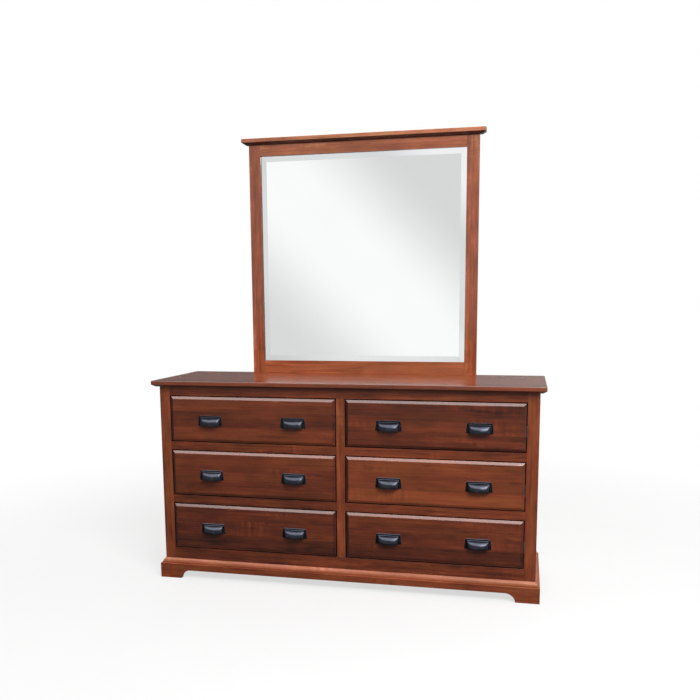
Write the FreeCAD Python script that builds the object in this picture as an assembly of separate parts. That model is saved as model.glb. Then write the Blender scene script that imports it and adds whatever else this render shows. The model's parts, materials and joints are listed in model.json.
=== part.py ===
import FreeCAD, Part
import math
import os

Vector = FreeCAD.Vector

# A six-drawer dresser with a framed mirror standing on the back edge of its top.
# Millimetres. X runs along the dresser, Y from front to back and Z up from the floor.

# Top board
top_width = 1626.0
top_depth = 483.0
top_height = 863.0
top_thickness = 25.0
top_side_overhang = 24.0
top_front_overhang = 31.0
top_bevel_drop = 9.0
top_bevel_width = 14.0
top_edge_radius = 2.0

# Case
panel_thickness = 19.0
case_underside = 45.0
bottom_thickness = 12.0
dado_depth = 6.0
back_thickness = 6.0
back_rabbet_width = 9.5
back_rail_height = 60.0
back_rail_thickness = 16.0

# Face frame
frame_thickness = 19.0
outer_stile_width = 46.5
centre_stile_width = 36.5
top_rail_width = 38.0
drawer_rail_width = 35.0
sill_height = 134.0
tenon_length = 14.0
tenon_thickness = 7.0
tenon_shoulder = 5.0
stile_edge_radius = 2.0

# Base boards with bracket feet
base_thickness = 18.0
base_height = 84.5
base_curve_height = 21.5
base_curve_depth = 11.5
foot_width = 95.0
arch_height = 36.0
arch_radius = 41.0
foot_block_width = 45.0

# Telescopic slides
slide_thickness = 12.7
slide_height = 45.0
slide_sheet = 1.2
slide_play = 0.4
slide_lip = 3.0
channel_depth = 10.5
slide_setback = 2.0
slide_rear_clearance = 19.0
filler_height = 60.0

# Drawers
front_thickness = 20.0
front_gap = 4.0
front_proud = 6.5
front_bevel_width = 11.0
box_thickness = 13.0
box_clearance_below = 20.0
box_clearance_above = 30.0
slide_rise = 60.0
drawer_bottom_thickness = 6.0
drawer_bottom_rise = 12.0
groove_depth = 6.0
tail_count = 4
tail_width_share = 0.75
tail_slope = 1.0 / 7.0

# Cup pulls
pull_spacing = 362.0
pull_drop = 5.0
pull_height = 41.0
pull_bottom_width = 108.0
pull_top_width = 100.0
pull_corner_radius = 7.0
pull_projection = 24.0
pull_wall = 2.4
plate_thickness = 2.0
plate_bevel = 1.4
plate_step = 6.5
hood_width = 88.0
hood_height = 31.0
hood_bow_radius = 100.0
hood_corner_radius = 20.0

# Mirror
mirror_width = 1035.0
mirror_thickness = 18.0
mirror_post_width = 53.75
mirror_lower_rail_width = 56.5
mirror_upper_rail_width = 50.0
mirror_opening_height = 922.0
mirror_edge_radius = 1.5
glass_setback = 8.0
glass_lap = 9.0
glass_thickness = 4.0
glass_bevel_width = 25.0
glass_bevel_drop = 2.4
backboard_thickness = 4.0
crown_thickness = 25.0
crown_side_overhang = 27.0
crown_front_overhang = 24.5
crown_bevel_drop = 9.0
crown_bevel_width = 14.0
crown_edge_radius = 2.0

# Mirror supports
support_width = 50.0
support_thickness = 19.0
support_above_top = 670.0
support_below_top = 330.0

# How far a cutting shape runs past what it cuts
overrun = 5.0

# Places worked out from the sizes
frame_y = top_front_overhang - (top_depth + support_thickness) / 2
frame_back_y = frame_y + frame_thickness
case_back_y = frame_y + top_depth - top_front_overhang
back_panel_y = case_back_y - back_thickness
case_half = top_width / 2 - top_side_overhang
side_inner_x = case_half - panel_thickness
case_top = top_height - top_thickness
rows = 3
opening_height = (case_top - top_rail_width - sill_height - (rows - 1) * drawer_rail_width) / rows
opening_inner_x = centre_stile_width / 2
opening_outer_x = case_half - outer_stile_width
opening_width = opening_outer_x - opening_inner_x
column_x = (opening_outer_x + opening_inner_x) / 2
row_pitch = opening_height + drawer_rail_width
partition_half = panel_thickness / 2
bottom_board_top = sill_height - tenon_shoulder

slide_front_y = frame_back_y + slide_setback
slide_back_y = back_panel_y - slide_rear_clearance
slide_length = slide_back_y - slide_front_y

front_y = frame_y - front_proud
front_back_y = front_y + front_thickness
box_half = opening_width / 2 - slide_thickness
box_inner = box_half - box_thickness
box_height = opening_height - box_clearance_below - box_clearance_above

mirror_front_y = case_back_y - mirror_thickness
mirror_half = mirror_width / 2
mirror_inner_x = mirror_half - mirror_post_width
mirror_sill = top_height + mirror_lower_rail_width
mirror_head = mirror_sill + mirror_opening_height
mirror_top = mirror_head + mirror_upper_rail_width
support_x = mirror_half - mirror_post_width / 2

columns = {"left": -1, "right": 1}
row_names = ("top", "middle", "bottom")


def opening_floor(row):
    """The lower edge of a row of drawer openings, counted from the top."""
    return sill_height + (rows - 1 - row) * row_pitch


# Plain shapes

def board(x0, x1, y0, y1, z0, z1):
    """A block between two corners, whichever way round the X values are given."""
    return Part.makeBox(abs(x1 - x0), y1 - y0, z1 - z0, Vector(min(x0, x1), y0, z0))


def polygon_face(points):
    return Part.Face(Part.makePolygon(points + points[:1]))


def lines(points):
    """Straight edges from each point to the next one."""
    return [Part.makeLine(*pair) for pair in zip(points, points[1:]) if pair[0] != pair[1]]


def prism(points, sweep):
    """A closed outline of points pushed along a vector."""
    return polygon_face(points).extrude(sweep)


def frustum(lower, upper):
    """A solid between two outlines that have their corners in the same order."""
    faces = [polygon_face(lower), polygon_face(upper)]
    for i in range(len(lower)):
        faces.append(polygon_face([lower[i - 1], lower[i], upper[i], upper[i - 1]]))
    return Part.makeSolid(Part.makeShell(faces))


def rectangle_z(x0, x1, y0, y1, z):
    return [Vector(x0, y0, z), Vector(x1, y0, z), Vector(x1, y1, z), Vector(x0, y1, z)]


def rectangle_y(x0, x1, z0, z1, y):
    return [Vector(x0, y, z0), Vector(x1, y, z0), Vector(x1, y, z1), Vector(x0, y, z1)]


def joined(*solids):
    return solids[0].fuse(list(solids[1:])).removeSplitter()


def eased(solid, radius, chosen):
    """Rounds the straight edges whose middle point the test picks."""
    edges = [edge for edge in solid.Edges if chosen(edge.CenterOfMass, edge.BoundBox)]
    return solid.makeFillet(radius, edges)


def mirrored(solid):
    """The same piece for the other side of the dresser."""
    return solid.mirror(Vector(0, 0, 0), Vector(1, 0, 0))


def save(name, solids):
    """Writes one node, which may be a group of separate solids."""
    shape = solids if isinstance(solids, Part.Shape) else Part.makeCompound(solids)
    shape.exportStep(os.path.join("parts", name + ".step"))


# Case

def overhanging_board(half, front, back, underside, thickness, bevel_drop, bevel_width, radius):
    """A board bevelled below along its front and sides, with its upper edges eased."""
    bevel_top = underside + bevel_drop
    top = underside + thickness
    slab = board(-half, half, front, back, bevel_top, top)
    slab = eased(slab, radius, lambda c, b: b.ZMin > top - radius and c.y < back - radius)
    inset = half - bevel_width
    bevel = frustum(rectangle_z(-inset, inset, front + bevel_width, back, underside),
                    rectangle_z(-half, half, front, back, bevel_top))
    return joined(slab, bevel)


def top_board():
    return overhanging_board(top_width / 2, frame_y - top_front_overhang, case_back_y, case_top,
                             top_thickness, top_bevel_drop, top_bevel_width, top_edge_radius)


def back_panel():
    half = side_inner_x + back_rabbet_width
    return board(-half, half, back_panel_y, case_back_y, case_underside, case_top)


def bottom_board():
    half = side_inner_x + dado_depth
    lower = bottom_board_top - bottom_thickness
    return board(-half, half, frame_back_y, back_panel_y, lower, bottom_board_top)


def side_panel():
    """The right side: a plain panel with a rear rabbet and a dado for the bottom board."""
    panel = board(side_inner_x, case_half, frame_back_y, case_back_y, case_underside, case_top)
    return panel.cut([back_panel(), bottom_board()])


def centre_partition():
    return board(-partition_half, partition_half, frame_back_y, back_panel_y, bottom_board_top, case_top)


def back_rails():
    """Rails inside the back: one pair under the top and one pair behind the first drawer rails."""
    front = back_panel_y - back_rail_thickness
    middle = opening_floor(0) - drawer_rail_width / 2
    rails = []
    for lower in (case_top - back_rail_height, middle - back_rail_height / 2):
        rail = board(partition_half, side_inner_x, front, back_panel_y, lower, lower + back_rail_height)
        rails += [rail, mirrored(rail)]
    return rails


def foot_blocks():
    """Square blocks inside the base corners, which carry the case."""
    inner = case_half - foot_block_width
    blocks = []
    for front in (frame_y, back_panel_y - foot_block_width):
        block = board(inner, case_half, front, front + foot_block_width, 0, case_underside)
        blocks += [block, mirrored(block)]
    return blocks


# Face frame

tenon_y0 = frame_y + (frame_thickness - tenon_thickness) / 2
tenon_y1 = tenon_y0 + tenon_thickness


def rail(x0, x1, z0, z1):
    """A rail between two stiles, with a stub tenon on each end."""
    tenon = board(x0 - tenon_length, x1 + tenon_length, tenon_y0, tenon_y1,
                  z0 + tenon_shoulder, z1 - tenon_shoulder)
    return joined(board(x0, x1, frame_y, frame_back_y, z0, z1), tenon)


def top_rail():
    return rail(-opening_outer_x, opening_outer_x, case_top - top_rail_width, case_top)


def bottom_rail():
    return rail(-opening_outer_x, opening_outer_x, case_underside, sill_height)


def drawer_rails():
    rails = []
    for row in range(rows - 1):
        upper = opening_floor(row)
        one = rail(opening_inner_x, opening_outer_x, upper - drawer_rail_width, upper)
        rails += [one, mirrored(one)]
    return rails


def centre_stile():
    """The stile between the two columns, tenoned up and down into the long rails."""
    lower = sill_height
    upper = case_top - top_rail_width
    cheek = opening_inner_x - tenon_shoulder
    tenon = board(-cheek, cheek, tenon_y0, tenon_y1, lower - tenon_length, upper + tenon_length)
    return joined(board(-opening_inner_x, opening_inner_x, frame_y, frame_back_y, lower, upper), tenon)


def outer_stile():
    stile = board(opening_outer_x, case_half, frame_y, frame_back_y, case_underside, case_top)
    return eased(stile, stile_edge_radius,
                 lambda c, b: c.x > case_half - stile_edge_radius and c.y < frame_y + stile_edge_radius
                 and b.ZLength > base_height)


# Base boards

def moulding_outline(corner, outward):
    """The base board's section: a long curve from the case down to a ledge, and a flat outer face."""
    ledge = base_height - base_curve_height
    radius = (base_curve_depth ** 2 + base_curve_height ** 2) / 2 / base_curve_depth
    turn = math.asin(base_curve_height / radius) / 2

    def point(away, height):
        return corner + outward * away + Vector(0, 0, height)

    top = point(0, base_height)
    foot = point(base_curve_depth, ledge)
    middle = point(base_curve_depth - radius * (1 - math.cos(turn)), ledge + radius * math.sin(turn))
    flats = lines([foot, point(base_thickness, ledge), point(base_thickness, 0), point(0, 0), top])
    return Part.Wire([Part.Arc(top, middle, foot).toShape()] + flats)


def arch_void(end, along, length, across):
    """The space under a base board: flat above, with a curve down to each bracket foot."""
    centre_height = arch_height - arch_radius
    reach = math.sqrt(arch_radius ** 2 - centre_height ** 2)
    turn = math.atan2(-centre_height, reach)
    lean = (math.pi / 2 + turn) / 2 - turn

    def point(distance, height):
        return end + along * distance + Vector(0, 0, height)

    def curve(foot, side):
        middle = foot + side * (reach - arch_radius * math.cos(lean))
        return Part.Arc(point(foot, 0), point(middle, centre_height + arch_radius * math.sin(lean)),
                        point(foot + side * reach, arch_height)).toShape()

    near = foot_width
    far = length - foot_width
    above = lines([point(near + reach, arch_height), point(far - reach, arch_height)])
    below = lines([point(far, 0), point(far, -overrun), point(near, -overrun), point(near, 0)])
    wire = Part.Wire([curve(near, 1)] + above + [curve(far, -1)] + below)
    return Part.Face(wire).extrude(across)


def corner_wedge(keeps_front):
    """What lies across the mitre from the front board, or else from the side board."""
    reach = base_thickness + overrun
    root = Vector(case_half, frame_y, -overrun)
    tip = root + Vector(reach, -reach, 0)
    third = Vector(tip.x, root.y, root.z) if keeps_front else Vector(root.x, tip.y, root.z)
    return prism([root, tip, third], Vector(0, 0, base_height + 2 * overrun))


def base_front():
    outer = case_half + base_thickness
    start = Vector(-outer, frame_y, 0)
    length = Vector(2 * outer, 0, 0)
    moulding = Part.Face(moulding_outline(start, Vector(0, -1, 0))).extrude(length)
    arch = arch_void(Vector(-outer, frame_y + overrun, 0), Vector(1, 0, 0), 2 * outer,
                     Vector(0, -base_thickness - 2 * overrun, 0))
    wedge = corner_wedge(True)
    return moulding.cut([arch, wedge, mirrored(wedge)])


def base_side():
    """The right side base board, from the front mitre to the square rear end."""
    front = frame_y - base_thickness
    length = case_back_y - front
    moulding = Part.Face(moulding_outline(Vector(case_half, front, 0), Vector(1, 0, 0)))
    moulding = moulding.extrude(Vector(0, length, 0))
    arch = arch_void(Vector(case_half - overrun, front, 0), Vector(0, 1, 0), length,
                     Vector(base_thickness + 2 * overrun, 0, 0))
    return moulding.cut([arch, corner_wedge(False)])


# Slides

def lipped_channel(depth, half_height):
    """A channel with inward lips, as (distance from its back, height) pairs."""
    inside = half_height - slide_sheet
    lip = inside - slide_lip
    upper = [(0, half_height), (depth, half_height), (depth, lip), (depth - slide_sheet, lip),
             (depth - slide_sheet, inside), (slide_sheet, inside)]
    return upper + [(away, -height) for away, height in reversed(upper)]


def slide_sections():
    """The fixed channel, the intermediate channel and the drawer's runner, nested with play."""
    step = slide_sheet + slide_play
    fixed = lipped_channel(channel_depth, slide_height / 2)
    middle_half = slide_height / 2 - step
    middle = [(away + step, height) for away, height in lipped_channel(channel_depth - 2 * step, middle_half)]
    waist = middle_half - slide_sheet - slide_lip - slide_play
    foot_half = middle_half - step
    foot = 2 * step
    back = slide_thickness
    upper = [(back, waist), (foot + slide_sheet, waist), (foot + slide_sheet, foot_half),
             (foot, foot_half), (foot, waist - slide_sheet), (back - slide_sheet, waist - slide_sheet)]
    runner = upper + [(away, -height) for away, height in reversed(upper)]
    return fixed, middle, runner


fixed_section, middle_section, runner_section = slide_sections()


def slide_bar(section, wall_x, inward, height):
    """One slide member, its section measured from the wall that carries the slide."""
    points = [Vector(wall_x + inward * away, slide_front_y, height + up) for away, up in section]
    return prism(points, Vector(0, slide_length, 0))


def slide_height_above(row):
    return opening_floor(row) + box_clearance_below + slide_rise


def slide_pair(section, side, row):
    """The two members of one kind that carry a drawer, outer wall first."""
    height = slide_height_above(row)
    return [slide_bar(section, side * opening_outer_x, -side, height),
            slide_bar(section, side * opening_inner_x, side, height)]


def slide_channels():
    return [bar for side in columns.values() for row in range(rows)
            for bar in slide_pair(fixed_section, side, row)]


def slide_fillers():
    """Strips on the side panels and the partition that bring the slides flush with the openings."""
    strips = []
    for side in columns.values():
        for row in range(rows):
            lower = slide_height_above(row) - filler_height / 2
            for wall, face in ((side_inner_x, opening_outer_x), (partition_half, opening_inner_x)):
                strips.append(board(side * wall, side * face, frame_back_y, slide_back_y,
                                    lower, lower + filler_height))
    return strips


# Drawers, built on the centre line of a column with the opening's lower edge at zero height

def drawer_front():
    """The applied front: a flat field raised above a wide shallow bevel on all four sides."""
    half = opening_width / 2 - front_gap
    lower = front_gap
    upper = opening_height - front_gap
    slab = board(-half, half, frame_y, front_back_y, lower, upper)
    inner = half - front_bevel_width
    field = frustum(rectangle_y(-half, half, lower, upper, frame_y),
                    rectangle_y(-inner, inner, lower + front_bevel_width, upper - front_bevel_width, front_y))
    return joined(slab, field)


def tail_outlines(end, direction, lower):
    """The dovetails at one end of a box side, as outlines in the YZ plane."""
    pitch = box_height / tail_count
    wide = pitch * tail_width_share / 2
    narrow = wide - box_thickness * tail_slope
    outlines = []
    for tail in range(tail_count):
        middle = lower + (tail + 0.5) * pitch
        base = end + direction * box_thickness
        outlines.append([(base, middle - narrow), (end, middle - wide), (end, middle + wide),
                         (base, middle + narrow)])
    return outlines


def extruded_yz(outline, x0, x1):
    return prism([Vector(x0, y, z) for y, z in outline], Vector(x1 - x0, 0, 0))


def drawer_bottom():
    inner = box_inner + groove_depth
    lower = box_clearance_below + drawer_bottom_rise
    return board(-inner, inner, front_back_y + box_thickness - groove_depth,
                 slide_back_y - box_thickness + groove_depth, lower, lower + drawer_bottom_thickness)


def box_boards():
    """Two sides with tails and two ends with pins, dovetailed at the four corners."""
    lower = box_clearance_below
    upper = lower + box_height
    front_tails = tail_outlines(front_back_y, 1, lower)
    back_tails = tail_outlines(slide_back_y, -1, lower)
    outline = [(front_back_y + box_thickness, lower)]
    for tail in front_tails:
        outline += tail
    outline += [(front_back_y + box_thickness, upper), (slide_back_y - box_thickness, upper)]
    for tail in reversed(back_tails):
        outline += reversed(tail)
    outline.append((slide_back_y - box_thickness, lower))
    groove = drawer_bottom()
    side = extruded_yz(outline, box_inner, box_half).cut(groove)
    tails = [extruded_yz(tail, box_inner, box_half) for tail in front_tails + back_tails]
    tails += [mirrored(tail) for tail in tails]
    ends = []
    for near in (front_back_y, slide_back_y - box_thickness):
        end = board(-box_half, box_half, near, near + box_thickness, lower, upper)
        ends.append(end.cut(tails + [groove]))
    return [side, mirrored(side)] + ends


# Cup pulls, built round the middle of their lower edge

pull_slope = (pull_bottom_width - pull_top_width) / 2 / pull_height


def pull_plate(inset, thickness, corner_radius):
    """A plate in the pull's outline, drawn in on its sides and top, with a bevelled edge except below."""
    low_half = pull_bottom_width / 2 - inset
    top = pull_height - inset
    top_half = low_half - pull_slope * top
    face = front_y - thickness
    outline = [Vector(-low_half, face, 0), Vector(low_half, face, 0),
               Vector(top_half, face, top), Vector(-top_half, face, top)]
    plate = prism(outline, Vector(0, thickness, 0))
    if corner_radius:
        plate = eased(plate, corner_radius, lambda c, b: c.z > top - plate_bevel and b.XLength < plate_bevel)
    rim = [edge for edge in plate.Edges
           if edge.BoundBox.YMax < face + plate_bevel / 2 and edge.CenterOfMass.z > 0]
    return plate.makeChamfer(plate_bevel, rim)


# Points of the hood's profile from its top to its lip, as shares of its reach from the face and its height
hood_profile_shares = [(0.0, 1.0), (0.375, 0.927), (0.682, 0.731), (0.92, 0.39), (1.0, 0.0)]


def hood_profile(wall, beyond):
    """The hood seen from the side: a quarter round from its top down to its lip."""
    top, shoulder, turn, brow, lip = [
        Vector(0, front_y - reach * (pull_projection - wall), height * (hood_height - wall))
        for reach, height in hood_profile_shares]
    low = lip - Vector(0, 0, beyond)
    behind = Vector(0, beyond, 0)
    corners = [lip, low, Vector(0, front_y, low.z) + behind, top + behind, top]
    arcs = [Part.Arc(top, shoulder, turn).toShape(), Part.Arc(turn, brow, lip).toShape()]
    return Part.Wire(arcs + lines(corners))


def hood_plan(wall, beyond):
    """The hood seen from above: a bowed front between two rounded corners."""
    half = hood_width / 2 - wall
    corner = hood_corner_radius - wall
    between = hood_bow_radius - hood_corner_radius
    centre = half - corner
    depth = pull_projection - hood_bow_radius + math.sqrt(between ** 2 - centre ** 2)
    meeting = math.asin(centre / between)

    def point(side, turn):
        return Vector(side * (centre + corner * math.sin(turn)), front_y - depth - corner * math.cos(turn), 0)

    def corner_arc(side):
        turns = (meeting, (meeting + math.pi / 2) / 2, math.pi / 2)
        return Part.Arc(*[point(side, turn) for turn in turns]).toShape()

    middle = Vector(0, front_y - pull_projection + wall, 0)
    bow = Part.Arc(point(-1, meeting), middle, point(1, meeting)).toShape()
    back = front_y + beyond
    ends = [point(1, math.pi / 2), Vector(half, back, 0), Vector(-half, back, 0), point(-1, math.pi / 2)]
    return Part.Wire([corner_arc(-1), bow, corner_arc(1)] + lines(ends))


def hood(wall, beyond):
    """The hood as a solid that runs on beyond its lip and its back, which only the hollow does."""
    profile = Part.Face(hood_profile(wall, beyond))
    profile.translate(Vector(-hood_width / 2, 0, 0))
    plan = Part.Face(hood_plan(wall, beyond))
    plan.translate(Vector(0, 0, -beyond))
    across = profile.extrude(Vector(hood_width, 0, 0))
    return across.common(plan.extrude(Vector(0, 0, hood_height + 2 * beyond)))


def cup_pull():
    """A hollow hood, open below, standing on a plate of two steps."""
    lower = pull_plate(0, plate_thickness, pull_corner_radius)
    upper = pull_plate(plate_step, 2 * plate_thickness, 0)
    return joined(hood(0, 0), lower, upper).cut(hood(pull_wall, overrun))


def drawer_pulls():
    lower = opening_height / 2 - pull_drop - pull_height / 2
    pull = cup_pull()
    return [pull.translated(Vector(side * pull_spacing / 2, 0, lower)) for side in (-1, 1)]


# Mirror

def glass_pocket():
    """The space that the rabbets leave behind the frame for the glass and its backboard."""
    half = mirror_inner_x + glass_lap
    return board(-half, half, mirror_front_y + glass_setback, case_back_y + overrun,
                 mirror_sill - glass_lap, mirror_head + glass_lap)


def mirror_rail(z0, z1):
    tenon = board(-mirror_inner_x - tenon_length, mirror_inner_x + tenon_length,
                  mirror_front_y + tenon_shoulder, mirror_front_y + tenon_shoulder + tenon_thickness,
                  z0 + tenon_shoulder, z1 - tenon_shoulder)
    blank = board(-mirror_inner_x, mirror_inner_x, mirror_front_y, case_back_y, z0, z1)
    return joined(blank, tenon).cut(glass_pocket())


def mirror_rails():
    return [mirror_rail(top_height, mirror_sill), mirror_rail(mirror_head, mirror_top)]


def mirror_post():
    post = board(mirror_inner_x, mirror_half, mirror_front_y, case_back_y, top_height, mirror_top)
    post = eased(post, mirror_edge_radius,
                 lambda c, b: c.y < mirror_front_y + mirror_edge_radius and b.ZLength > mirror_opening_height)
    return post.cut([glass_pocket()] + mirror_rails())


def mirror_glass():
    """A plate with a wide bevel ground along its four front edges."""
    half = mirror_inner_x + glass_lap
    lower = mirror_sill - glass_lap
    upper = mirror_head + glass_lap
    front = mirror_front_y + glass_setback
    edge = front + glass_bevel_drop
    inset = glass_bevel_width + glass_lap
    plate = board(-half, half, edge, front + glass_thickness, lower, upper)
    raised = frustum(rectangle_y(-half, half, lower, upper, edge),
                     rectangle_y(inset - half, half - inset, lower + inset, upper - inset, front))
    return joined(plate, raised)


def mirror_backboard():
    half = mirror_inner_x + glass_lap
    front = mirror_front_y + glass_setback + glass_thickness
    return board(-half, half, front, front + backboard_thickness,
                 mirror_sill - glass_lap, mirror_head + glass_lap)


def mirror_crown():
    return overhanging_board(mirror_half + crown_side_overhang, mirror_front_y - crown_front_overhang,
                             case_back_y, mirror_top, crown_thickness, crown_bevel_drop,
                             crown_bevel_width, crown_edge_radius)


def mirror_supports():
    """Uprights behind the dresser that hold the mirror."""
    support = board(support_x - support_width / 2, support_x + support_width / 2, case_back_y,
                    case_back_y + support_thickness, top_height - support_below_top,
                    top_height + support_above_top)
    return [support, mirrored(support)]


# The whole dresser

def save_face_frame():
    rails = [top_rail(), bottom_rail()]
    middle_rails = drawer_rails()
    stile = centre_stile()
    outer = outer_stile().cut(rails + middle_rails)
    save("top_rail", rails[0].cut(stile))
    save("bottom_rail", rails[1].cut(stile))
    save("drawer_rails", middle_rails)
    save("centre_stile", stile.cut(middle_rails))
    save("outer_stile_right", outer)
    save("outer_stile_left", mirrored(outer))


def save_case():
    side = side_panel()
    base = base_side()
    save("top_board", top_board())
    save("side_panel_right", side)
    save("side_panel_left", mirrored(side))
    save("centre_partition", centre_partition())
    save("bottom_board", bottom_board())
    save("back_panel", back_panel())
    save("back_rails", back_rails())
    save("slide_fillers", slide_fillers())
    save("slide_channels", slide_channels())
    save("base_front", base_front())
    save("base_sides", [base, mirrored(base)])
    save("foot_blocks", foot_blocks())


def save_mirror():
    post = mirror_post()
    save("mirror_posts", [post, mirrored(post)])
    save("mirror_rails", mirror_rails())
    save("mirror_crown", mirror_crown())
    save("mirror_glass", mirror_glass())
    save("mirror_backboard", mirror_backboard())
    save("mirror_supports", mirror_supports())


def save_drawers():
    front = drawer_front()
    boards = box_boards()
    bottom = drawer_bottom()
    pulls = drawer_pulls()
    for column, side in columns.items():
        for row, row_name in enumerate(row_names):
            place = Vector(side * column_x, 0, opening_floor(row))
            tag = column + "_" + row_name
            save("front_" + tag, front.translated(place))
            save("box_" + tag, [one.translated(place) for one in boards])
            save("bottom_" + tag, bottom.translated(place))
            save("pulls_" + tag, [pull.translated(place) for pull in pulls])
            save("runners_" + tag, slide_pair(runner_section, side, row))
            save("slides_" + tag, slide_pair(middle_section, side, row))


os.makedirs("parts", exist_ok=True)
save_case()
save_face_frame()
save_mirror()
save_drawers()
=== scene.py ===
import json
import math
import random

import bmesh
import bpy
from mathutils import Matrix, Vector


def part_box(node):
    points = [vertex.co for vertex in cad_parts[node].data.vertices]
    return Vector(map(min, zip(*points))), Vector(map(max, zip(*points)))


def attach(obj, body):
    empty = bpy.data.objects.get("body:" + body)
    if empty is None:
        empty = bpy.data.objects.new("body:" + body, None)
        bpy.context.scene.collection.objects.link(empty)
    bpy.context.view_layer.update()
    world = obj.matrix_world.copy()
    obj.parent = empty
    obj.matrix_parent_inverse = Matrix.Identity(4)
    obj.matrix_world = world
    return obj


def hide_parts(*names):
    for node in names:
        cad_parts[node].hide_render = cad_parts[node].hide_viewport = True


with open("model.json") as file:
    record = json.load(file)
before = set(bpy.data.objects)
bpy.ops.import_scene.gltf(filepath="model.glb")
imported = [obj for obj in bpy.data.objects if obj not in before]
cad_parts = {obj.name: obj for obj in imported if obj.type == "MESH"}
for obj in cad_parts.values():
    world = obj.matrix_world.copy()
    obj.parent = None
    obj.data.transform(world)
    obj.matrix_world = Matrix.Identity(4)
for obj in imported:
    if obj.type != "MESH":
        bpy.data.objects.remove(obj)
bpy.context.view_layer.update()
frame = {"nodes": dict(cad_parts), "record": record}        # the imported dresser: bodies, nodes, joints and record

# A six-drawer dresser with a framed mirror, in stained wood with blackened cup pulls. Metres.

ROWS = ("top", "middle", "bottom")
COLUMNS = ("left", "right")
DRAWERS = [column + "_" + row for column in COLUMNS for row in ROWS]
BODY_OF = {node: body for body, nodes in frame["record"]["behaviour"]["bodies"].items() for node in nodes}
chance = random.Random(11)


def shade(red, green, blue):
    """A colour as it is seen, from 0 to 255, turned into the linear one that a shader works in."""
    def linear(value):
        value /= 255
        return value / 12.92 if value <= 0.04045 else ((value + 0.055) / 1.055) ** 2.4
    return linear(red), linear(green), linear(blue), 1.0


# Shader sums

class Value:
    """A shader socket that can stand in a sum: each operator adds one Math node."""

    def __init__(self, finish, socket):
        self.finish = finish
        self.socket = socket

    def math(self, operation, *values):
        return self.finish.node("ShaderNodeMath", {"operation": operation}, dict(enumerate(values)))

    def __add__(self, other):
        return self.math("ADD", self, other)

    def __radd__(self, other):
        return self.math("ADD", other, self)

    def __sub__(self, other):
        return self.math("SUBTRACT", self, other)

    def __rsub__(self, other):
        return self.math("SUBTRACT", other, self)

    def __mul__(self, other):
        return self.math("MULTIPLY", self, other)

    def __rmul__(self, other):
        return self.math("MULTIPLY", other, self)

    def __truediv__(self, other):
        return self.math("DIVIDE", self, other)

    def __neg__(self):
        return 0.0 - self

    def __pow__(self, other):
        return self.math("POWER", self, other)

    def floor(self):
        return self.math("FLOOR", self)

    def sine(self):
        return self.math("SINE", self)

    def root(self):
        return self.math("SQRT", self)

    def lesser(self, other):
        return self.math("MINIMUM", self, other)

    def between(self, low, high):
        """0 below low, 1 above high and a smooth rise between them."""
        return self.finish.node("ShaderNodeMapRange", {"interpolation_type": "SMOOTHSTEP"},
                                {"Value": self, "From Min": low, "From Max": high})

    def beside(self, name):
        """Another output of the same node."""
        return Value(self.finish, self.socket.node.outputs[name])


class Finish:
    """The shader of one material, or of the world, built node by node."""

    def __init__(self, owner):
        self.owner = owner
        owner.use_nodes = True
        self.tree = owner.node_tree
        self.tree.nodes.clear()

    def node(self, kind, settings=None, sockets=None, output=0):
        """Adds a node: its settings first, then the value or the link of each socket."""
        node = self.tree.nodes.new(kind)
        for name, value in (settings or {}).items():
            if name == "stops":
                self.set_stops(node.color_ramp, value)
            else:
                setattr(node, name, value)
        for name, value in (sockets or {}).items():
            if isinstance(value, Value):
                self.tree.links.new(value.socket, node.inputs[name])
            else:
                node.inputs[name].default_value = value
        return Value(self, node.outputs[output]) if node.outputs else None

    @staticmethod
    def set_stops(ramp, stops):
        while len(ramp.elements) < len(stops):
            ramp.elements.new(1)
        for element, (place, colour) in zip(ramp.elements, stops):
            element.position = place
            element.color = colour

    def attribute(self, name, output="Fac"):
        return self.node("ShaderNodeAttribute", {"attribute_name": name}, output=output)

    def split(self, vector):
        """The three parts of a vector."""
        first = self.node("ShaderNodeSeparateXYZ", None, {"Vector": vector})
        return [first.beside(name) for name in "XYZ"]

    def vector(self, x=0.0, y=0.0, z=0.0):
        return self.node("ShaderNodeCombineXYZ", None, {"X": x, "Y": y, "Z": z})

    def noise(self, at, scale=1.0, detail=2.0, roughness=0.5):
        return self.node("ShaderNodeTexNoise", {"noise_dimensions": "3D"},
                         {"Vector": at, "Scale": scale, "Detail": detail, "Roughness": roughness})

    def mix(self, share, first, second, blend="MIX"):
        """Two colours mixed."""
        return self.node("ShaderNodeMix", {"data_type": "RGBA", "blend_type": blend, "clamp_result": True},
                         {0: share, 6: first, 7: second}, output=2)

    def ramp(self, value, stops):
        return self.node("ShaderNodeValToRGB", {"stops": stops}, {"Fac": value})

    def bump(self, height, distance, strength=1.0):
        return self.node("ShaderNodeBump", None,
                         {"Height": height, "Distance": distance, "Strength": strength})

    def surface(self, **sockets):
        """Ends a material in one shader, whose socket names are written with underscores."""
        named = {name.replace("_", " "): value for name, value in sockets.items()}
        return self.end(self.node("ShaderNodeBsdfPrincipled", None, named))

    def end(self, shader, kind="ShaderNodeOutputMaterial"):
        self.node(kind, None, {"Surface": shader})
        return self.owner


def new_finish(name):
    return Finish(bpy.data.materials.new(name))


# Wood. The staves of a panel are cut far apart along the trunk, and at different distances from its pith.

STAVES_APART, PITH_ASIDE, PITH_NEAREST, PITH_SPREAD = 7.0, 0.09, 0.02, 0.07
GRAIN_RELIEF = 0.00003


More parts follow.
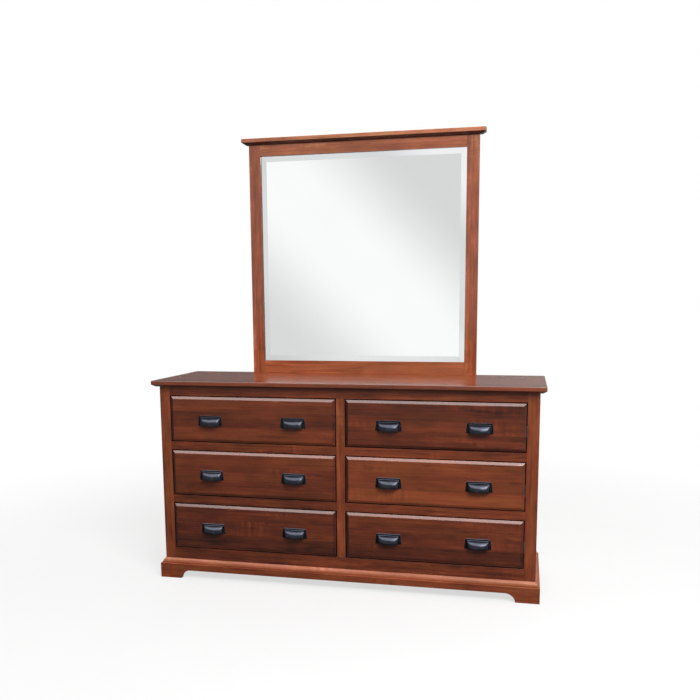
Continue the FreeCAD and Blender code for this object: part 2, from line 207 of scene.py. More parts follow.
def wood(name, colours, streaks=0.8, rings=0.14, blotches=0.45, staves=0.5, ring_width=0.0034,
         figure=0.5, rough=0.34, coat=0.0, coat_rough=0.08, flecks=0.35, brown=0.0, relief=1.0, dull=None):
    """Solid wood: growth rings round a pith, streaks along the grain, uneven stain and fine pores.

    wood_at holds a point's place in its board: along the grain, across it and through the board.
    Streaks, rings, blotches, staves, figure, flecks and brown say how strongly each of them shows.
    The coat thins out from the second to the first of the two heights in dull.
    """
    finish = new_finish(name)
    along, across, through = finish.split(finish.attribute("wood_at", "Vector"))
    board = finish.attribute("board")
    stave_width = finish.attribute("stave_width")

    # Each stave of a glued-up panel has its own tone and its own place in the trunk
    stave = (across / stave_width + 0.5).floor()
    cut = finish.node("ShaderNodeTexWhiteNoise", {"noise_dimensions": "2D"},
                      {"Vector": finish.vector(stave, board)}, output="Color")
    tone, shift, depth = finish.split(cut)
    run = along + shift * STAVES_APART + board
    side = across - stave * stave_width + (shift - 0.5) * PITH_ASIDE
    deep = through + PITH_NEAREST + depth * PITH_SPREAD

    def grain(lengthwise, crosswise, detail=2.0, roughness=0.5):
        """Noise that changes so many times in a metre along the grain and across it."""
        at = finish.vector(run * lengthwise, side * crosswise, deep * crosswise)
        return finish.noise(at, 1.0, detail, roughness)

    # Growth rings, pulled about by slow changes along the trunk
    wander = grain(1.4, 7.0, 3.0, 0.55) - 0.5
    waver = grain(9.0, 40.0) - 0.5
    distance = (side * side + deep * deep).root() + wander * 0.03 + waver * 0.0012
    ring = ((distance / ring_width * math.tau).sine() * 0.5 + 0.5) ** 2.0
    ring = ring * grain(3.0, 30.0).between(0.25, 0.75)

    # Streaks at three widths, the patches where the stain sank in deeper, and bars of curly figure
    broad = grain(1.8, 26.0, 3.0, 0.6)
    narrow = grain(3.0, 190.0, 3.0, 0.65)
    fine = grain(22.0, 1100.0, 2.0, 0.6)
    patches = grain(8.0, 24.0, 5.0, 0.62)
    bars = grain(75.0, 9.0, 1.0) - 0.5
    curly = grain(4.0, 14.0).between(0.55, 0.68)
    pores = grain(70.0, 2400.0, 1.0).between(0.66, 0.78)

    lightness = 0.5 + ((broad - 0.5) * 0.8 + (narrow - 0.5) * 0.8 + (fine - 0.5) * 0.4) * streaks
    lightness = lightness + (patches - 0.5) * blotches + (tone - 0.5) * staves * 0.6 + bars * curly * figure
    # The board's tone, with light and shade painted on by the way each face turns
    lightness = lightness - ring * rings + finish.attribute("tone")
    places = [index / (len(colours) - 1) for index in range(len(colours))]
    colour = finish.ramp(lightness, [(place, shade(*seen)) for place, seen in zip(places, colours)])
    browner = grain(5.0, 20.0).between(0.42, 0.66)
    colour = finish.mix(browner * brown, colour, (0.8, 0.95, 0.8, 1), "MULTIPLY")
    colour = finish.mix(pores * flecks, colour, shade(*colours[0]))

    if dull:
        level = finish.split(finish.node("ShaderNodeTexCoord", output="Object"))[2]
        coat = coat * level.between(*dull)
    height = fine * 0.6 + narrow * 0.3 - pores * 0.6
    return finish.surface(Base_Color=colour, Roughness=rough + (narrow - 0.5) * 0.12 + pores * 0.1,
                          Specular_IOR_Level=0.3, Coat_Weight=coat, Coat_Roughness=coat_rough,
                          Normal=finish.bump(height, GRAIN_RELIEF, relief))


# The colours of each wood, from its darkest to its lightest streaks
STAINED = [(50, 21, 14), (99, 43, 26), (137, 65, 37), (167, 86, 50), (208, 129, 90)]
PALE = [(176, 134, 92), (204, 166, 122), (222, 188, 144), (233, 204, 164), (241, 219, 186)]
INNER = [(150, 112, 76), (182, 144, 104), (204, 170, 130), (219, 189, 150), (230, 205, 170)]
PLY = [(168, 128, 88), (192, 154, 112), (208, 174, 134), (220, 190, 152), (229, 203, 168)]

stained_wood = wood("stained_wood", STAINED, streaks=1.0, blotches=0.8, coat=0.7, brown=0.8)
frame_wood = wood("stained_frame", STAINED, streaks=1.0, blotches=0.8, coat=0.7, brown=0.8, dull=(0.92, 1.2))
top_wood = wood("stained_top", STAINED, staves=0.6, coat=1.0, coat_rough=0.14, brown=0.7, relief=0.2)
front_wood = wood("stained_fronts", STAINED, streaks=0.6, staves=0.4, blotches=0.5, coat=0.8, brown=0.8)
base_wood = wood("stained_base", STAINED, blotches=0.8, rough=0.42, coat=0.2, brown=0.8)
box_wood = wood("clear_maple", PALE, streaks=0.35, blotches=0.25, figure=0.16, rough=0.42, coat=0.2,
                flecks=0.15)
inner_wood = wood("raw_maple", INNER, streaks=0.4, blotches=0.3, figure=0.16, rough=0.6, flecks=0.2)
ply_wood = wood("maple_plywood", PLY, streaks=0.3, rings=0.3, blotches=0.3, ring_width=0.012, figure=0.0,
                rough=0.5, flecks=0.2)


# Metal and glass

def blackened_metal():
    """Dark bronze, rubbed through a little and slightly pitted by its casting."""
    finish = new_finish("blackened_metal")
    at = finish.node("ShaderNodeTexCoord", output="Object")
    cloud = finish.noise(at, 55.0, 4.0, 0.6)
    pits = finish.noise(at, 500.0, 2.0)
    colour = finish.ramp(cloud, [(0.3, shade(44, 46, 53)), (0.7, shade(54, 56, 64))])
    return finish.surface(Base_Color=colour, Metallic=1.0, Roughness=0.25 + (cloud - 0.5) * 0.1,
                          Normal=finish.bump(pits, 0.000015))


def plated_steel():
    """Zinc plating with the faint bands of a rolled strip."""
    finish = new_finish("plated_steel")
    at = finish.node("ShaderNodeTexCoord", output="Object")
    x, y, z = finish.split(at)
    bands = finish.noise(finish.vector(x * 400.0, y * 6.0, z * 400.0), 1.0, 3.0)
    cloud = finish.noise(at, 30.0, 3.0)
    colour = finish.ramp(cloud, [(0.3, shade(150, 153, 157)), (0.7, shade(176, 179, 182))])
    return finish.surface(Base_Color=colour, Metallic=1.0, Roughness=0.42 + (bands - 0.5) * 0.2,
                          Normal=finish.bump(bands, 0.00003))


def screw_steel():
    """Dull steel of the screw heads."""
    finish = new_finish("screw_steel")
    cloud = finish.noise(finish.node("ShaderNodeTexCoord", output="Object"), 300.0, 3.0)
    colour = finish.ramp(cloud, [(0.3, shade(120, 118, 112)), (0.7, shade(160, 156, 148))])
    return finish.surface(Base_Color=colour, Metallic=1.0, Roughness=0.35 + (cloud - 0.5) * 0.2)


def clear_glass():
    """The mirror's glass, with the slightest haze of handling.

    Its ground bevels carry a painted reflection: greyer, though less so along the foot and towards the
    upper right corner, where they also get a painted highlight that glows.
    """
    finish = new_finish("clear_glass")
    at = finish.node("ShaderNodeTexCoord", output="Object")
    haze = finish.noise(at, 6.0, 4.0, 0.6)
    x, z = finish.split(at)[::2]
    ground = finish.attribute("ground")
    # Painted reflection on the ground bevels: grey, paler along the foot and towards the upper right corner
    corner = (x + z).between(1.85, 2.2)
    foot = (1.1 - z).between(0.0, 0.1)
    bevel = finish.mix(corner + foot * 0.45, (0.75, 0.765, 0.77, 1), (0.95, 0.95, 0.95, 1))
    colour = finish.mix(ground, (0.996, 0.998, 0.998, 1), bevel)
    # Painted highlight: the bevels glow a little towards the upper right corner
    painted_glint = finish.mix(ground * corner, (0, 0, 0, 1), (0.11, 0.11, 0.115, 1))
    return finish.surface(Base_Color=colour, IOR=1.52, Transmission_Weight=1.0,
                          Roughness=haze.between(0.5, 0.85) * 0.004,
                          Emission_Color=painted_glint, Emission_Strength=1.0)


def silvering():
    """The silver on the back of the glass."""
    finish = new_finish("silvering")
    cloud = finish.noise(finish.node("ShaderNodeTexCoord", output="Object"), 4.0, 3.0)
    colour = finish.ramp(cloud, [(0.3, (0.945, 0.95, 0.95, 1)), (0.7, (0.96, 0.965, 0.965, 1))])
    return finish.surface(Base_Color=colour, Metallic=1.0, Roughness=0.0)


pull_metal = blackened_metal()
slide_metal = plated_steel()
screw_metal = screw_steel()
glass = clear_glass()
silver = silvering()


# Boards, with their edges eased

FLAT_WITHIN = 0.00002              # a corner may stand so far out of an outermost face
SAME_PLANE = math.radians(0.5)     # faces that turn by less are one face
SHARP_EDGE = math.radians(28)      # edges that turn by more are eased
EDGE_EASE, EASE_STEPS = 0.0006, 2
END_GRAIN_DARKER = 0.18


def solids_of(node):
    """The node's closed solids, each as a list of faces, which are rings of corners."""
    mesh = frame["nodes"][node].data
    corners = [tuple(round(part, 6) for part in vertex.co) for vertex in mesh.vertices]
    solids, faces, open_edges = [], [], set()
    for polygon in mesh.polygons:
        ring = [corners[index] for index in polygon.vertices]
        faces.append(ring)
        for edge in zip(ring, ring[1:] + ring[:1]):
            if edge[::-1] in open_edges:
                open_edges.remove(edge[::-1])
            else:
                open_edges.add(edge)
        if not open_edges:
            solids.append(faces)
            faces = []
    return solids


def solid_mesh(faces):
    """One solid with its flat faces whole again."""
    mesh = bmesh.new()
    vertices = {corner: mesh.verts.new(corner) for ring in faces for corner in ring}
    for ring in faces:
        if len(set(ring)) == len(ring):
            mesh.faces.new([vertices[corner] for corner in ring])
    bmesh.ops.dissolve_limit(mesh, angle_limit=SAME_PLANE, verts=mesh.verts, edges=mesh.edges)
    mesh.normal_update()
    return mesh


def outer_edges(mesh, everywhere):
    """The sharp edges to ease: those between two outermost faces, or every sharp outward edge."""
    def outermost(face):
        corner = face.verts[0].co
        return all((vertex.co - corner).dot(face.normal) < FLAT_WITHIN for vertex in mesh.verts)

    outer = {face for face in mesh.faces if everywhere or outermost(face)}
    return [edge for edge in mesh.edges if len(edge.link_faces) == 2
            and edge.calc_face_angle_signed() > SHARP_EDGE
            and all(face in outer for face in edge.link_faces)]


def mark_grain_and_shade(mesh, along, stave_width, tone, painted_light_above, painted_shade_sides, painted_shade_below, painted_shade_bevels):
    """Writes each point's place in its board, along, across and through it, and how light the board is.

    The grain runs along the axis along, or else along the longest side. Light and shade are painted onto
    the faces by the way they turn: what faces up is lighter by the value for above, and what faces
    sideways or down is darker by the values for sides and below, as painted shade in gaps and under
    overhangs. What leans left or right is darker by the first or second of the bevels, painted shade on the
    side turned from the lamp, and end grain is darker by itself.
    """
    lows = [min(vertex.co[axis] for vertex in mesh.verts) for axis in range(3)]
    highs = [max(vertex.co[axis] for vertex in mesh.verts) for axis in range(3)]
    sizes = [high - low for low, high in zip(lows, highs)]
    order = sorted(range(3), key=lambda axis: -sizes[axis])
    if along is not None:
        order.remove(along)
        order.insert(0, along)
    number = chance.uniform(0, 90)
    place = mesh.verts.layers.float_vector.new("wood_at")
    board = mesh.verts.layers.float.new("board")
    stave = mesh.verts.layers.float.new("stave_width")
    light = mesh.loops.layers.float.new("tone")
    for vertex in mesh.verts:
        vertex[place] = [vertex.co[axis] - (lows[axis] + highs[axis]) / 2 for axis in order]
        vertex[board] = number
        vertex[stave] = stave_width
    for face in mesh.faces:
        turned = face.normal
        # Painted light and shade: lighter facing up, darker facing sideways, down, left or right; end grain darker
        # by its own colour
        end_grain_and_painted_shade = max(END_GRAIN_DARKER * (abs(turned[order[0]]) > 0.8), painted_shade_sides * (abs(turned.y) < 0.5),
                     painted_shade_below * (turned.z < -0.3), painted_shade_bevels[0] * (turned.x < -0.2), painted_shade_bevels[1] * (turned.x > 0.2))
        for loop in face.loops:
            loop[light] = tone + painted_light_above * min(max(turned.z, 0) * 3, 1) - end_grain_and_painted_shade


def add_piece(name, mesh, material, body, smooth=40):
    """A piece made from a bmesh, shaded smooth where its faces turn by less than an angle."""
    data = bpy.data.meshes.new(name)
    mesh.to_mesh(data)
    mesh.free()
    data.polygons.foreach_set("use_smooth", [True] * len(data.polygons))
    data.set_sharp_from_angle(angle=math.radians(smooth))
    data.materials.append(material)
    piece = bpy.data.objects.new(name, data)
    bpy.context.scene.collection.objects.link(piece)
    normals = piece.modifiers.new("even_normals", "WEIGHTED_NORMAL")
    normals.keep_sharp = True
    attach(piece, body)
    return piece


def finished(node, material, tones=(0.0,), ease=EDGE_EASE, everywhere=False, along=None,
             stave_width=4.0, painted_light_above=0.0, painted_shade_sides=0.0, painted_shade_below=0.0, painted_shade_bevels=(0.0, 0.0)):
    """The node's boards again, eased along their edges and marked with their grain.

    The tones go round the boards, lighter above zero and darker below it. Only edges between outermost
    faces are eased, or every sharp outward one where everywhere is true. The marking of the grain, with the
    painted light and shade, explains the rest.
    """
    whole = bmesh.new()
    for index, faces in enumerate(solids_of(node)):
        mesh = solid_mesh(faces)
        if ease:
            bmesh.ops.bevel(mesh, geom=outer_edges(mesh, everywhere), offset=ease, offset_type="OFFSET",
                            segments=EASE_STEPS, profile=0.5, affect="EDGES", clamp_overlap=True)
            mesh.normal_update()
        mark_grain_and_shade(mesh, along, stave_width, tones[index % len(tones)], painted_light_above, painted_shade_sides, painted_shade_below, painted_shade_bevels)
        data = bpy.data.meshes.new("board")
        mesh.to_mesh(data)
        mesh.free()
        whole.from_mesh(data)
        bpy.data.meshes.remove(data)
    piece = add_piece(node + "_finished", whole, material, BODY_OF[node], smooth=50)
    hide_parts(node)
    return piece


# Painted shade: the top's upper face a little darker, and what faces down darker still
finished("top_board", top_wood, (0.06,), stave_width=0.098, painted_light_above=-0.14, painted_shade_below=0.3)
for node in ("side_panel_left", "side_panel_right"):
    finished(node, stained_wood, (-0.06,), stave_width=0.092)
FACE_FRAME_TONES = {"top_rail": (0.02,), "bottom_rail": (-0.29,), "drawer_rails": (-0.1, -0.2, 0.04, -0.12),
                    "centre_stile": (0.06,), "outer_stile_left": (-0.12,), "outer_stile_right": (0.03,)}
# Painted shade on the faces that turn sideways, inside the openings round the drawers
for node, tones in FACE_FRAME_TONES.items():
    finished(node, stained_wood, tones, painted_shade_sides=0.35)
# The mirror's posts and rails are paler than the case, partly their own stain and partly painted light, as if the
# lamp fell more strongly on them
finished("mirror_posts", frame_wood, (0.3, 0.2))
finished("mirror_rails", frame_wood, (0.27, 0.13))
supports = finished("mirror_supports", stained_wood, (-0.05,))
# Painted shade under the crown
finished("mirror_crown", stained_wood, (0.3,), painted_shade_below=0.8)
# Painted light on what faces up on the base
for node in ("base_front", "base_sides"):
    finished(node, base_wood, (-0.02,), everywhere=True, painted_light_above=0.32)
for node in ("back_rails", "slide_fillers", "foot_blocks", "centre_partition"):
    finished(node, inner_wood)
finished("bottom_board", ply_wood)
finished("back_panel", ply_wood, along=2)
finished("mirror_backboard", ply_wood)
FRONT_TONES = {"left_top": -0.14, "right_top": -0.2, "left_middle": -0.18, "right_middle": 0.06,
               "left_bottom": -0.31, "right_bottom": -0.23}
# Painted shade on the fronts' edges in the gaps round them, and on their side bevels, most on the left ones, turned
# from the lamp
for drawer in DRAWERS:
    finished("front_" + drawer, front_wood, (FRONT_TONES[drawer],), stave_width=0.068,
             painted_shade_sides=0.3, painted_shade_bevels=(0.42, 0.13))
    finished("box_" + drawer, box_wood)
    finished("bottom_" + drawer, ply_wood, ease=0.0)

# The slides keep their solids as they are
for node in ["slide_channels"] + [kind + drawer for kind in ("runners_", "slides_") for drawer in DRAWERS]:
    frame["nodes"][node].data.materials[0] = slide_metal


# Screws. Each kind of head is given by its radius and its rise.

SUPPORT_HEAD, PANEL_HEAD, BACKBOARD_HEAD = (0.0042, 0.0008), (0.0036, 0.0012), (0.0025, 0.0008)
PULL_HEAD, RUNNER_HEAD = (0.0045, 0.0022), (0.0034, 0.0012)
BACKWARD = (0, 1, 0)


def ring_of(mesh, points):
    return [mesh.verts.new(point) for point in points]


def bridge(mesh, first, second, closed=True):
    """Faces between two rows of as many corners."""
    pairs = list(zip(first, second))
    for near, far in zip(pairs, pairs[1:] + pairs[:closed]):
        mesh.faces.new([near[0], far[0], far[1], near[1]])


def spread(first, last, count):
    """Evenly spaced values, both ends among them."""
    return [first + (last - first) * index / (count - 1) for index in range(count)]


def add_screw(mesh, place, facing, radius, rise):
    """A screw head with a cross recess, its rim on the place and its top a rise above it."""
    arm, half_width, sunk = radius * 0.56, radius * 0.13, radius * 0.35
    quarter = [(arm, -half_width), (arm, half_width), (half_width, half_width)]
    cross = [(x * math.cos(turn) - y * math.sin(turn), x * math.sin(turn) + y * math.cos(turn))
             for turn in (0, math.pi / 2, math.pi, math.pi * 1.5) for x, y in quarter]
    leans = [math.atan2(y, x) for x, y in cross]

    def circle(share, height):
        return [(radius * share * math.cos(lean), radius * share * math.sin(lean), height) for lean in leans]

    rim, shoulder, crown = circle(1.0, 0.0), circle(0.94, rise * 0.7), circle(0.8, rise)
    mouth = [(x, y, rise) for x, y in cross]
    pit = [(x * 0.55, y * 0.55, rise - sunk) for x, y in cross]
    turned = Vector(facing).to_track_quat("Z", "Y").to_matrix()
    rings = [ring_of(mesh, [turned @ Vector(point) + Vector(place) for point in ring])
             for ring in (rim, shoulder, crown, mouth, pit)]
    for outer, inner in zip(rings, rings[1:]):
        bridge(mesh, outer, inner)
    mesh.faces.new(rings[-1])


def add_screws(name, body, places, facing, head):
    """Screws with the same head, in one piece."""
    mesh = bmesh.new()
    for place in places:
        add_screw(mesh, place, facing, *head)
    add_piece(name, mesh, screw_metal, body, smooth=30)


# Cup pulls. Depths are counted from the drawer's face, and heights from the pull's lower edge.

PLATE_LOWER_HALF, PLATE_UPPER_HALF, PLATE_HEIGHT = 0.054, 0.050, 0.041
PLATE_DEPTH, PLATE_BEVEL, PLATE_STEP = 0.002, 0.0014, 0.0065
PLATE_CORNER, STEP_CORNER, CORNER_STEPS = 0.007, 0.004, 6
HOOD_HALF, HOOD_HEIGHT, HOOD_DEPTH, HOOD_WALL = 0.044, 0.031, 0.024, 0.0024
HOOD_BOW, HOOD_CORNER, LIP_EASE = 0.1, 0.02, 0.0006
HOOD_LEVELS, END_STEPS, BOW_STEPS = 14, 8, 5
PULL_SCREW_OUT, PULL_SCREW_UP, BOX_FRONT_INSIDE = 0.032, 0.017, -0.1935


def plate_outline(inset, corner, depth):
    """A plate's outline, from its lower right corner over the top to its lower left one."""
    top = PLATE_HEIGHT - inset
    half = PLATE_LOWER_HALF - inset
    upper = half - (PLATE_LOWER_HALF - PLATE_UPPER_HALF) * top / PLATE_HEIGHT
    turns = spread(0, math.pi / 2, CORNER_STEPS + 1)
    right = [(half, -depth, 0)] + [(upper - corner + corner * math.cos(turn), -depth,
                                    top - corner + corner * math.sin(turn)) for turn in turns]
    return right + [(-x, y, z) for x, y, z in reversed(right)]


def add_plate(mesh, inset, corner, depth):
    back = ring_of(mesh, plate_outline(inset, corner, 0))
    edge = ring_of(mesh, plate_outline(inset, corner, depth - PLATE_BEVEL))
    face = ring_of(mesh, plate_outline(inset + PLATE_BEVEL, corner - PLATE_BEVEL, depth))
    bridge(mesh, back, edge)
    bridge(mesh, edge, face)
    mesh.faces.new(face)
    mesh.faces.new(back[::-1])


def hood_row(wall, turn, lift=0.0):
    """One level of the hood, from its right end to its left one, inside its outermost form by the wall.

    The turn goes from the lip, at 0, to the top. The front is a wide bow, and the ends are round corners.
    """
    corner = HOOD_CORNER - wall
    centre = HOOD_HALF - HOOD_CORNER
    far = HOOD_BOW - HOOD_CORNER
    back = HOOD_DEPTH - HOOD_BOW + math.sqrt(far ** 2 - centre ** 2)
    meeting = math.asin(centre / far)
    bow = HOOD_BOW - wall
    right = [(HOOD_HALF - wall, 0.0)]
    for lean in spread(math.pi / 2, meeting, END_STEPS + 1):
        right.append((centre + corner * math.sin(lean), back + corner * math.cos(lean)))
    for lean in spread(meeting, 0, BOW_STEPS + 1)[1:]:
        right.append((bow * math.sin(lean), HOOD_DEPTH - HOOD_BOW + bow * math.cos(lean)))
    plan = right + [(-x, depth) for x, depth in reversed(right[:-1])]
    height = (HOOD_HEIGHT - wall) * math.sin(turn) + lift
    return [(x, -depth * math.cos(turn), height) for x, depth in plan]


def add_hood(mesh):
    """A dome cut off below, hollow, with an eased lip."""
    def rows_at(wall, lip_wall):
        levels = [hood_row(wall, turn, LIP_EASE * (not turn))
                  for turn in spread(0, math.pi / 2, HOOD_LEVELS + 1)]
        return [hood_row(lip_wall, 0.0)] + levels

    outer, inner = rows_at(0.0, LIP_EASE), rows_at(HOOD_WALL, HOOD_WALL - LIP_EASE)
    rows = [ring_of(mesh, row) for row in outer[::-1] + inner]
    for upper, lower in zip(rows, rows[1:]):
        bridge(mesh, upper, lower, closed=False)


def add_pulls(drawer):
    """Both pulls of a drawer, on the places of its solids, and their screws from inside the box."""
    mesh = bmesh.new()
    screws = []
    for faces in solids_of("pulls_" + drawer):
        corners = [corner for ring in faces for corner in ring]
        low, high = [[pick(values) for values in zip(*corners)] for pick in (min, max)]
        pull = bmesh.new()
        add_plate(pull, 0.0, PLATE_CORNER, PLATE_DEPTH)
        add_plate(pull, PLATE_STEP, STEP_CORNER, 2 * PLATE_DEPTH)
        add_hood(pull)
        middle = (low[0] + high[0]) / 2
        screws += [(middle + side * PULL_SCREW_OUT, BOX_FRONT_INSIDE, low[2] + PULL_SCREW_UP)
                   for side in (-1, 1)]
        bmesh.ops.translate(pull, vec=(middle, high[1], low[2]), verts=pull.verts)
        data = bpy.data.meshes.new("pull")
        pull.to_mesh(data)
        pull.free()
        mesh.from_mesh(data)
        bpy.data.meshes.remove(data)
    body = BODY_OF["pulls_" + drawer]
    piece = add_piece("pulls_" + drawer + "_finished", mesh, pull_metal, body, smooth=30)
    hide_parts("pulls_" + drawer)
    add_screws("pull_screws_" + drawer, body, screws, BACKWARD, PULL_HEAD)


for drawer in DRAWERS:
    add_pulls(drawer)


# Screws of the slides and of the back. A row is given by its first place, its last one and their number.

RUNNER_SHEET, RUNNER_SCREW_DEPTHS = 0.0012, (-0.178, 0.182, 3)
PANEL_ROW, PANEL_RAIL_HEIGHTS, PANEL_FOOT = (-0.72, 0.72, 13), (0.5838, 0.808), 0.078
PANEL_EDGE, PANEL_EDGE_INSET = (0.18, 0.72, 5), 0.008
SUPPORT_WIDTH, SUPPORT_CLEARANCE, SUPPORT_FOOT = 0.05, 0.035, 0.53
SUPPORT_SCREW_HEIGHTS = (0.58425, 0.808, 0.963, 1.223, 1.483)
BACKBOARD_ROW, BACKBOARD_INSET = (-0.42, 0.42, 7), 0.005


def runner_screws(drawer):
    """Three screws through each runner into the side of the box, their heads in the runner's channel."""
    low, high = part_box("box_" + drawer)
    middle = sum(corner.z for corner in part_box("runners_" + drawer)) / 2
    for name, face, facing in (("left", low.x, -1), ("right", high.x, 1)):
        places = [(face + facing * RUNNER_SHEET, depth, middle) for depth in spread(*RUNNER_SCREW_DEPTHS)]
        add_screws("runner_screws_" + name + "_" + drawer, BODY_OF["box_" + drawer], places,
                   (facing, 0, 0), RUNNER_HEAD)


def panel_screws(support_middle):
    """The screws round the back panel and along its two rails, but for those that a support would cover."""
    low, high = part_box("back_panel")
    rows = [(x, z) for z in (low.z + PANEL_FOOT, *PANEL_RAIL_HEIGHTS) for x in spread(*PANEL_ROW)]
    edges = [(side * (high.x - PANEL_EDGE_INSET), z) for side in (-1, 1) for z in spread(*PANEL_EDGE)]
    return [(x, high.y, z) for x, z in rows + edges
            if z < SUPPORT_FOOT or abs(abs(x) - support_middle) > SUPPORT_CLEARANCE]


for drawer in DRAWERS:
    runner_screws(drawer)


# The supports are planed down behind, so that the screw heads reach no further than the board does
support_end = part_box("mirror_supports")[1]
support_middle = support_end.x - SUPPORT_WIDTH / 2
for vertex in supports.data.vertices:
    if vertex.co.y > support_end.y - EDGE_EASE - FLAT_WITHIN:
        vertex.co.y -= SUPPORT_HEAD[1]
add_screws("support_screws", "case",
           [(side * support_middle, support_end.y - SUPPORT_HEAD[1], height) for side in (-1, 1)
            for height in SUPPORT_SCREW_HEIGHTS], BACKWARD, SUPPORT_HEAD)
add_screws("back_panel_screws", "case", panel_screws(support_middle), BACKWARD, PANEL_HEAD)
backboard_low, backboard_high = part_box("mirror_backboard")
add_screws("backboard_screws", "case",
           [(x, backboard_high.y, z)
            for z in (backboard_low.z + BACKBOARD_INSET, backboard_high.z - BACKBOARD_INSET)
            for x in spread(*BACKBOARD_ROW)], BACKWARD, BACKBOARD_HEAD)


# The mirror

SILVER_INSIDE = 0.0002


def bevelled_glass():
    """The glass again, with crisp bevels, which lean a little from its face and are marked for their painted
    reflection.
    """
    mesh = solid_mesh(solids_of("mirror_glass")[0])
    ground = mesh.loops.layers.float.new("ground")
    for face in mesh.faces:
        for loop in face.loops:
            loop[ground] = float(0.9 < -face.normal.y < 0.9999)
    piece = add_piece("mirror_glass_finished", mesh, glass, "case", smooth=2)
    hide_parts("mirror_glass")


def silver_sheet():
    """A thin sheet just inside the back of the glass."""
    low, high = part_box("mirror_glass")
    depth = high.y - SILVER_INSIDE
    mesh = bmesh.new()
    corners = [(low.x, depth, low.z), (high.x, depth, low.z), (high.x, depth, high.z), (low.x, depth, high.z)]
    mesh.faces.new([mesh.verts.new(corner) for corner in corners])
    add_piece("mirror_silver", mesh, silver, "case")


bevelled_glass()
silver_sheet()


# Floor, light and camera

FLOOR_RADIUS, FLOOR_CORNERS, FLOOR_DROP = 3.4, 96, 0.0005


def floor_material():
    """A plain pale floor that fades into the white round it."""
    finish = new_finish("pale_floor")
    at = finish.node("ShaderNodeTexCoord", output="Object")
    x, y = finish.split(at)[:2]
    fade = (x * x + y * y).root().between(1.3, 3.2)
    grain = finish.noise(at, 3.0, 3.0)
    pale = finish.ramp(grain, [(0.3, (0.93, 0.93, 0.93, 1)), (0.7, (0.95, 0.95, 0.95, 1))])
    seen = finish.node("ShaderNodeLightPath", output="Is Camera Ray")
    colour = finish.mix(seen, (0.25, 0.25, 0.25, 1), pale)
    diffuse = finish.node("ShaderNodeBsdfDiffuse", None, {"Color": colour})
    white = finish.node("ShaderNodeEmission", None, {"Color": (1, 1, 1, 1), "Strength": 1.0})
    shadowed = finish.node("ShaderNodeMixShader", None, {0: seen * 0.65, 1: diffuse, 2: white})
    clear = finish.node("ShaderNodeBsdfTransparent")
    return finish.end(finish.node("ShaderNodeMixShader", None, {0: fade, 1: shadowed, 2: clear}))


def lay_floor():
    mesh = bmesh.new()
    bmesh.ops.create_circle(mesh, cap_ends=True, radius=FLOOR_RADIUS, segments=FLOOR_CORNERS)
    data = bpy.data.meshes.new("floor")
    mesh.to_mesh(data)
    mesh.free()
    data.materials.append(floor_material())
    floor = bpy.data.objects.new("floor", data)
    floor.location.z = -FLOOR_DROP
    floor.visible_glossy = False
    bpy.context.scene.collection.objects.link(floor)


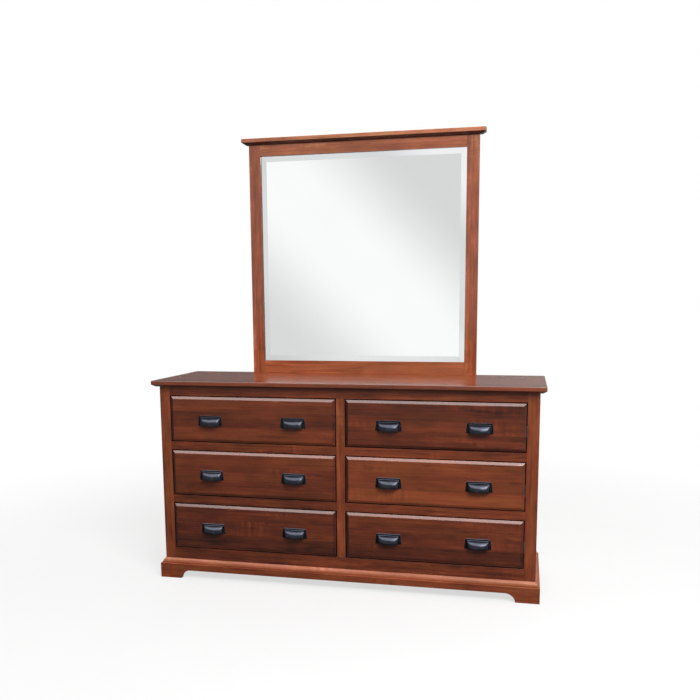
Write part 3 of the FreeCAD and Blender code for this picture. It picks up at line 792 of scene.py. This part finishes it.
def light_room():
    """White all round for the camera, and a room for everything else.

    Shiny surfaces see a white wall in front, a wide lamp above and a dim room behind. A strength of 1 is
    white, and x, y and z are the parts of a direction: to the right, to the back and up.
    """
    world = bpy.data.worlds.new("room")
    bpy.context.scene.world = world
    world.cycles.sampling_method = "NONE"
    room = Finish(world)
    seen = room.node("ShaderNodeLightPath", output="Is Camera Ray")
    through = seen.beside("Is Transmission Ray")
    mirrored = (seen.beside("Is Glossy Ray") + through).lesser(1.0)
    x, y, z = room.split(room.node("ShaderNodeTexCoord", output="Generated"))

    # The wall in front, greyer at two opposite corners and far to the left
    middle_x, middle_z, half_width, half_height = -0.195, 0.055, 0.12, 0.125
    slant = (x - middle_x) / half_width + (z - middle_z) / half_height
    wall = 1.0 - slant.between(0.1, 1.3) * 0.29 - (-slant).between(0.4, 1.6) * 0.27
    wall = wall - (wall - 0.66) * (-x).between(0.36, 0.42)

    # The ground is dark, with a paler stripe further down, but in the mirror all of it is pale
    low = (-z).between(0.07, 0.1)
    stripe = (-z).between(0.34, 0.4) * (z + 0.6).between(0.0, 0.1)
    ground = 0.07 + stripe * 0.2
    shine = wall - (wall - ground) * low * (1.0 - through * 0.8)

    # The room behind is dim, and a little lighter to the right
    behind = y.between(-0.3, 0.3)
    dim = 0.15 + x.between(-0.3, 0.5) * 0.35
    shine = shine + (dim - shine) * behind

    # The lamp above and a strip at the far right, which the mirror doesn't show
    lamp = z.between(0.6, 0.68) * (1.0 - y.between(0.15, 0.4))
    strip = x.between(0.84, 0.9) * (-z).between(-0.5, -0.3)
    shine = shine + (5.4 - through * 4.4 - shine) * lamp + strip * 0.5 * (1.0 - through)

    # What falls on dull surfaces: most from above, some from in front and behind, and less from the left
    soft = 0.1 + z.between(-0.2, 0.7) * 0.6 + (-y).between(0.0, 1.0) * 0.12 + y.between(0.1, 1.0) * 0.3
    soft = soft * (1.0 - (-x).between(0.1, 0.9) * 0.5)
    strength = seen + mirrored * shine + (1.0 - seen - mirrored) * soft
    background = room.node("ShaderNodeBackground", None, {"Color": (1, 1, 1, 1), "Strength": strength})
    room.end(background, "ShaderNodeOutputWorld")


def hang_lamp(name, place, aim, size, power):
    """A flat lamp at a place, turned to what it aims at."""
    lamp = bpy.data.lights.new(name, "AREA")
    lamp.shape = "RECTANGLE"
    lamp.size, lamp.size_y = size
    lamp.energy = power
    stand = bpy.data.objects.new(name, lamp)
    stand.location = place
    stand.rotation_euler = (Vector(aim) - Vector(place)).to_track_quat("-Z", "Y").to_euler()
    bpy.context.scene.collection.objects.link(stand)


def set_camera():
    """The photograph's view: where the camera stood, how it was turned and its focal length."""
    place = Vector((0.7252212, -3.3087322, 1.1860493))
    yaw, pitch, roll = 0.2181, 0.1410, -0.0061
    focal_pixels, frame_pixels, centre_row = 789.3336, 700, 414.3423
    forward = Vector((-math.sin(yaw) * math.cos(pitch), math.cos(yaw) * math.cos(pitch), -math.sin(pitch)))
    right = Vector((math.cos(yaw), math.sin(yaw), 0))
    up = right.cross(forward)
    turned_right = right * math.cos(roll) + up * math.sin(roll)
    turned_up = up * math.cos(roll) - right * math.sin(roll)
    data = bpy.data.cameras.new("camera")
    data.sensor_width = 36
    data.lens = focal_pixels * data.sensor_width / frame_pixels
    data.shift_y = (centre_row - frame_pixels / 2) / frame_pixels
    camera = bpy.data.objects.new("camera", data)
    axes = Matrix((turned_right, turned_up, -forward)).transposed().to_4x4()
    camera.matrix_world = Matrix.Translation(place) @ axes
    bpy.context.scene.collection.objects.link(camera)
    bpy.context.scene.camera = camera


lay_floor()
light_room()
hang_lamp("key", place=(1.8, -2.8, 3.2), aim=(0.0, 0.0, 0.9), size=(2.0, 1.6), power=115)
set_camera()
bpy.context.scene.view_settings.view_transform = "Standard"
